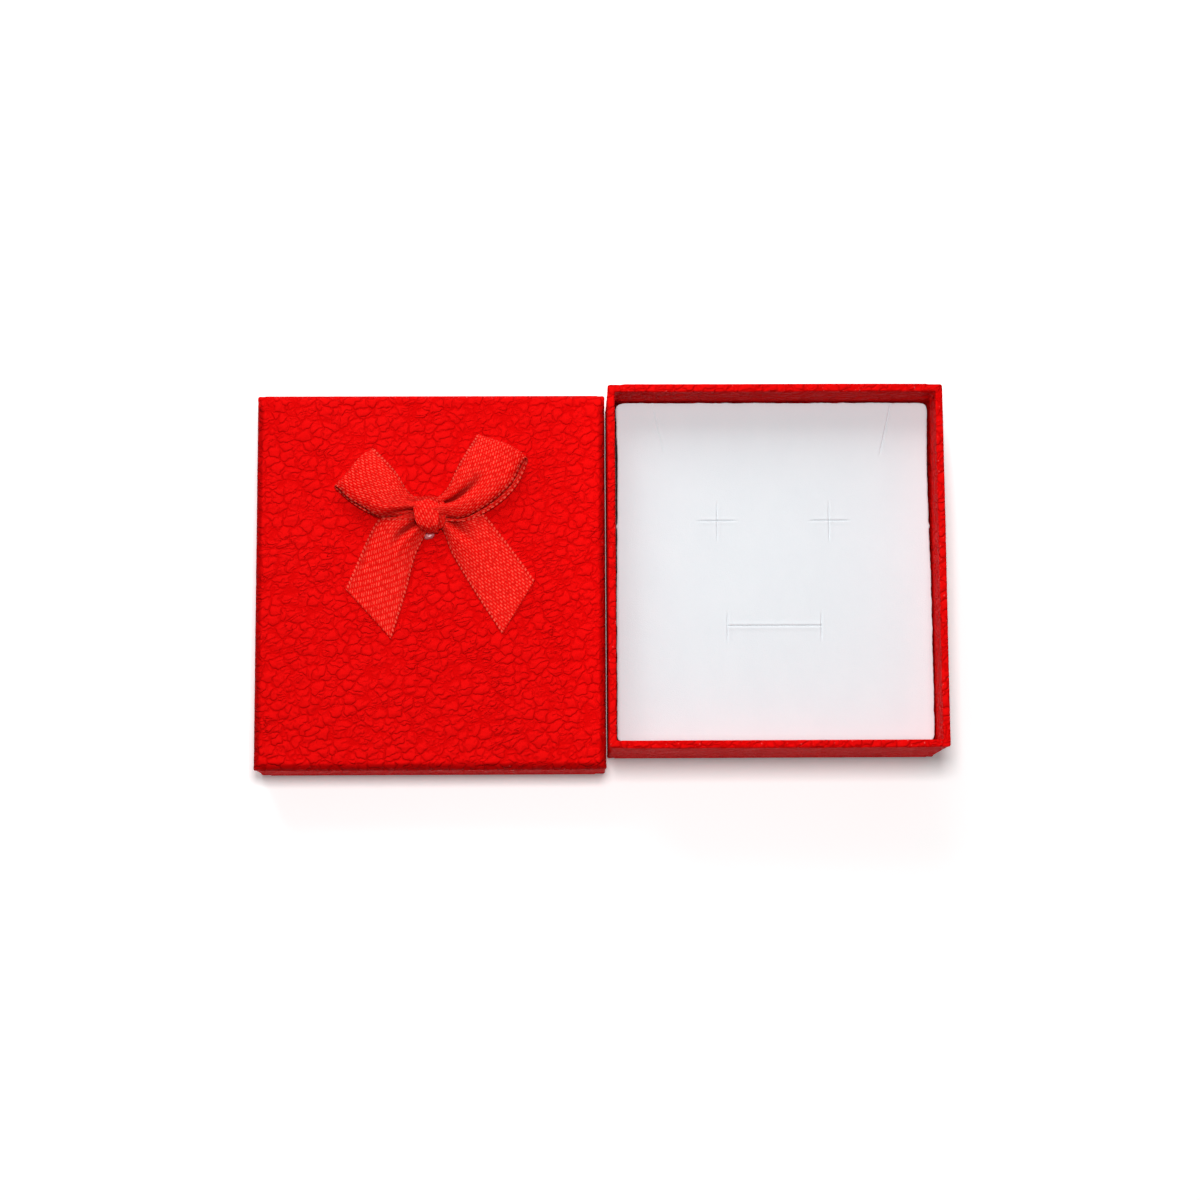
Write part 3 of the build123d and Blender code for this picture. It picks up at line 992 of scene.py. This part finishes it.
left_loop, left_loop_length = ribbon_piece("bow_loop_left_satin", loop_strip(
    [(-0.6, 2.8), (-3.3, 4.3), (-6.9, 9.6), (-11.3, 14.4)],
    [(-0.6, -0.4), (-3.2, 0.1), (-7.5, -0.5), (-10.9, -0.5), (-14.0, 1.4), (-17.7, 3.7), (-20.2, 6.2)],
    [(-0.6, 2.2), (-3.2, 3.6), (-7.0, 8.8), (-11.5, 14.0)],
    [(-0.6, -1.2), (-4.0, -1.1), (-9.0, -1.1), (-13.4, 0.6), (-17.2, 3.0), (-20.6, 5.9)],
    (-0.67, 0.74), left_surface, lambda v: 0.35 * np.sin(v * 6.0 + 0.3),
))
right_loop, right_loop_length = ribbon_piece("bow_loop_right_satin", loop_strip(
    [(0.6, -1.2), (4.4, -0.8), (8.1, -0.9), (12.8, 1.15), (15.8, 3.2), (19.5, 6.9), (22.4, 12.6)],
    [(0.6, 2.8), (3.6, 4.4), (7.9, 11.8), (11.6, 18.0)],
    [(0.6, -1.6), (4.6, -1.5), (8.6, -1.6), (13.4, 0.4), (16.8, 2.6), (20.8, 6.8), (23.2, 12.0)],
    [(0.6, 2.2), (3.6, 3.6), (8.0, 10.8), (12.1, 17.6)],
    (0.46, 0.89), lambda out, v: right_surface(out, 1 - v), lambda v: 0.25 * np.sin(v * 5.0),
))

# %% Tails


def tail_strip(left_edge, right_edge, surface):
    """Ribbon lying from under the knot to its slanting cut end."""
    out = np.linspace(0, 1, 80)
    plan = between_edges(left_edge, right_edge, out)
    z = surface(out[:, None], across_shares()[None, :])
    return np.concatenate([plan, z[:, :, None]], axis=2)


def left_tail_surface(out, v):
    """Height of the left tail: gathered under the knot, flat and a little lifted at the cut."""
    arch = 0.35 + 0.85 * ramp(0.75, 0.15, out)
    dome = 0.5 * (1 - (2 * v - 1) ** 2) * ramp(1.1, 0.4, out)
    ridge = 1.1 * bump(v - 0.74 + 0.25 * out, 0.10) * ramp(0.65, 0.1, out)
    hollow = 1.3 * bump(v - 0.5 + 0.15 * out, 0.13) * ramp(0.5, 0.05, out)
    return np.maximum(arch + dome + ridge - hollow - 0.25 * ramp(0.2, 0, v), 0.3)


def right_tail_surface(out, v):
    """Height of the right tail, with a soft fold running down from the loop."""
    arch = 0.35 + 0.7 * ramp(0.8, 0.1, out)
    dome = 0.4 * (1 - (2 * v - 1) ** 2) * ramp(1.1, 0.4, out)
    ridge = 1.0 * bump(v - 0.22 - 0.3 * out, 0.13) * ramp(0.75, 0.1, out)
    hollow = 1.3 * bump(v - 0.6, 0.2) * ramp(0.5, 0.08, out)
    return np.maximum(arch + dome + ridge - hollow, 0.3)


left_tail, left_tail_length = ribbon_piece("bow_tail_left_satin", tail_strip(
    [(-1.0, 1.4), (-6.5, 0.6), (-10.8, -1.0), (-13.0, -4.6), (-15.6, -10.6), (-18.3, -17.0)],
    [(1.2, -1.0), (0.0, -4.2), (-2.2, -8.8), (-4.4, -17.0), (-7.9, -28.5)],
    left_tail_surface,
))
right_tail, right_tail_length = ribbon_piece("bow_tail_right_satin", tail_strip(
    [(-0.4, -1.4), (2.8, -2.5), (6.0, -9.0), (10.8, -17.2), (17.4, -27.4)],
    [(1.0, 1.6), (7.0, 1.4), (12.6, 0.4), (16.8, -4.3), (21.0, -9.8), (24.8, -15.2)],
    right_tail_surface,
))

# %% Knot
KNOT_SECTION = [  # across in half widths, and mm above the turn
    (-0.25, -1.15), (-0.95, -0.85), (-1.03, -0.3), (-0.6, 0.0), (0.0, 0.08), (0.62, 0.02),
    (1.0, -0.18), (0.96, -0.42), (1.02, -0.62), (1.42, -0.7), (1.5, -1.0), (1.2, -1.4),
]


def knot_strip():
    """The turn round the middle: wide above, drawn in below, with one fold at its right."""
    rows = 60
    share = np.linspace(0, 1, rows)
    angle = np.radians(190 * share - 5)
    y = 4.15 * np.sign(np.cos(angle)) * abs(np.cos(angle)) ** 0.8
    z = 0.35 + 3.35 * np.clip(np.sin(angle), 0, 1) ** 0.62
    way = np.gradient(np.column_stack([y, z]), axis=0)
    way /= np.linalg.norm(way, axis=1, keepdims=True)
    up = np.column_stack([way[:, 1], -way[:, 0]])
    left = -3.25 + 2.95 * share**1.8
    right = 2.75 + 0.3 * np.sin(np.pi * share) - 0.1 * share
    section = curve_through(KNOT_SECTION, across_shares())
    fold = np.clip(section[:, 0] - 1, 0, None)
    body = np.clip(section[:, 0], None, 1)
    spread = np.sin(np.pi * np.clip(share * 1.05, 0, 1)) ** 0.7
    half = (right - left)[:, None] / 2
    x = (left + right)[:, None] / 2 + body * half + fold * 3.1 * spread[:, None]
    sink = section[None, :, 1] + 0.09 * np.sin(across_shares() * 26 + share[:, None] * 3)
    points = np.zeros((rows, ACROSS, 3))
    points[:, :, 0] = x
    points[:, :, 1] = y[:, None] + up[:, 0:1] * sink
    points[:, :, 2] = np.maximum(z[:, None] + up[:, 1:2] * sink, 0.3)
    return points


knot_band, knot_length = ribbon_piece("bow_knot_satin", knot_strip())

# %% [markdown]
# Satin shows its long warp threads: short dashes in rows half a millimetre apart, each row
# set off from the next like bricks, and the dashes get a painted highlight. The two edges are
# woven closer, with a groove beside them; their stitches get the same painted highlight and
# the groove a little painted shade. The ribbon mark gives the place on the flat ribbon in
# millimetres and how hollow the ribbon is there, and hollows get painted shade, a dark red.

# %% Satin material
THREAD_ROW = 0.56     # mm
DASH = 1.2            # mm
WEAVE_LEAN = 0.26     # radians off the ribbon's length
SELVEDGE = 5.85       # mm from the middle


def make_satin():
    """Red satin: warp dashes and edge stitches with a painted highlight, painted shade in the groove
    and hollows, threads raised by bump.
    """
    material, place = start_material("red satin")
    mark = place.node("ShaderNodeAttribute", {"attribute_name": "ribbon"}, out=1)
    hollow = mark.part(2)
    flat = mark * (1.0, 1.0, 0.0)
    wander = (clouds(flat, 0.9, 2.0, out=1) - 0.5) * 0.35
    leaning = turned(flat + wander, -WEAVE_LEAN)
    row = leaning.part(1) * (1 / THREAD_ROW)
    number = row.floor()
    in_row = abs(row % 1.0 - 0.5)
    along = (leaning.part(0) * (1 / DASH) + number * 0.37) % 1.0
    thread = in_row.ramp(0.36, 0.06)
    dash = abs(along - 0.5).ramp(0.42, 0.2) * thread
    uneven = clouds(flat, 1.1, 3.0).ramp(0.3, 0.7)
    edge = abs(flat.part(1))
    on_edge = edge.ramp(SELVEDGE, SELVEDGE + 0.08)
    groove = abs(edge - SELVEDGE).ramp(0.14, 0.02)
    stitch = abs(flat.part(0) % 1.0 - 0.5).ramp(0.36, 0.16) * on_edge
    # Painted highlight on the warp dashes and the edge stitches.
    weave_highlight = dash * (1.0 - on_edge) * (0.12 + 0.88 * uneven) + stitch * 0.8
    deep = uneven.mix((0.64, 0.0010, 0.0007, 1), (0.78, 0.0024, 0.0015, 1))
    colour = (weave_highlight * 0.9).mix(deep, (1.0, 0.115, 0.074, 1))
    # Painted shade in the groove beside each edge.
    colour = (groove * 0.15).mix(colour, (0.45, 0.002, 0.002, 1))
    # Painted shade in the pleats, the hollows and round the knot.
    colour = (hollow * 0.85).mix(colour, (0.16, 0.0003, 0.0002, 1))
    height = dash * 0.7 + thread * 0.3 + stitch - groove
    varying = {"Base Color": colour, "Roughness": 0.50 - weave_highlight * 0.10}
    constant = {"Specular IOR Level": 0.12, "Specular Tint": (1.0, 0.24, 0.18, 1)}
    end_material(place, height, 0.055, varying, constant)
    return material


satin = make_satin()
ribbon_runs = [
    (left_loop, left_loop_length, "bow_loop_left", "folded"),
    (right_loop, right_loop_length, "bow_loop_right", "folded"),
    (left_tail, left_tail_length, "bow_tail_left", "laid"),
    (right_tail, right_tail_length, "bow_tail_right", "laid"),
    (knot_band, knot_length, "bow_knot", "gathered"),
]
for piece, length, node, held in ribbon_runs:
    dress(piece, satin, "lid", "ribbon", node)
    length * MM

# %% [markdown]
# A drop of hot-melt glue holds the bow and shows below the knot: milky, half clear and
# slightly pink from the paper under it.

# %% Glue
GLUE_LEVELS = 10
GLUE_AROUND = 32


def glue_drop():
    """Squeezed drop with a flat foot."""
    rings_up = np.linspace(0, np.pi / 2, GLUE_LEVELS)
    around = np.linspace(0, 2 * np.pi, GLUE_AROUND + 1)[:-1]
    width = 1 + 0.16 * np.sin(2 * around + 0.7) + 0.05 * np.sin(5 * around)
    reach = np.cos(rings_up) ** 0.6
    points = [np.zeros((1, 3))]
    for level, share in zip(np.sin(rings_up[:-1]), reach[:-1]):
        x = width * share * np.cos(around) * glue_half[0] * 1.15
        y = width * share * np.sin(around) * glue_half[1] * 0.9
        z = np.full(GLUE_AROUND, level * 2 * glue_half[2] * 0.9)
        points.append(np.column_stack([x, y, z]))
    points.append(np.array([[0, 0, 2 * glue_half[2] * 0.9]]))
    points = np.concatenate(points) + (glue_centre[0], glue_centre[1], lid_top + 0.02)
    faces = (np.array(grid_faces(GLUE_LEVELS - 1, GLUE_AROUND, closed=True)) + 1).tolist()
    last = len(points) - 1
    for here in range(GLUE_AROUND):
        after = (here + 1) % GLUE_AROUND
        faces.append([0, 1 + after, 1 + here])
        faces.append([last, last - GLUE_AROUND + here, last - GLUE_AROUND + after])
    return make_piece("glue_drop", points, faces)


def make_glue():
    """Milky hot-melt glue."""
    material, place = start_material("hot-melt glue")
    cloudy = clouds(place, 1.8, 2.0)
    colour = cloudy.mix((0.42, 0.05, 0.06, 1), (0.62, 0.20, 0.22, 1))
    varying = {"Base Color": colour, "Roughness": 0.2 + cloudy * 0.15}
    constant = {"Specular IOR Level": 0.35}
    end_material(place, cloudy, 0.05, varying, constant)
    return material


dress(glue_drop(), make_glue(), "lid", "glue", "bow_glue")
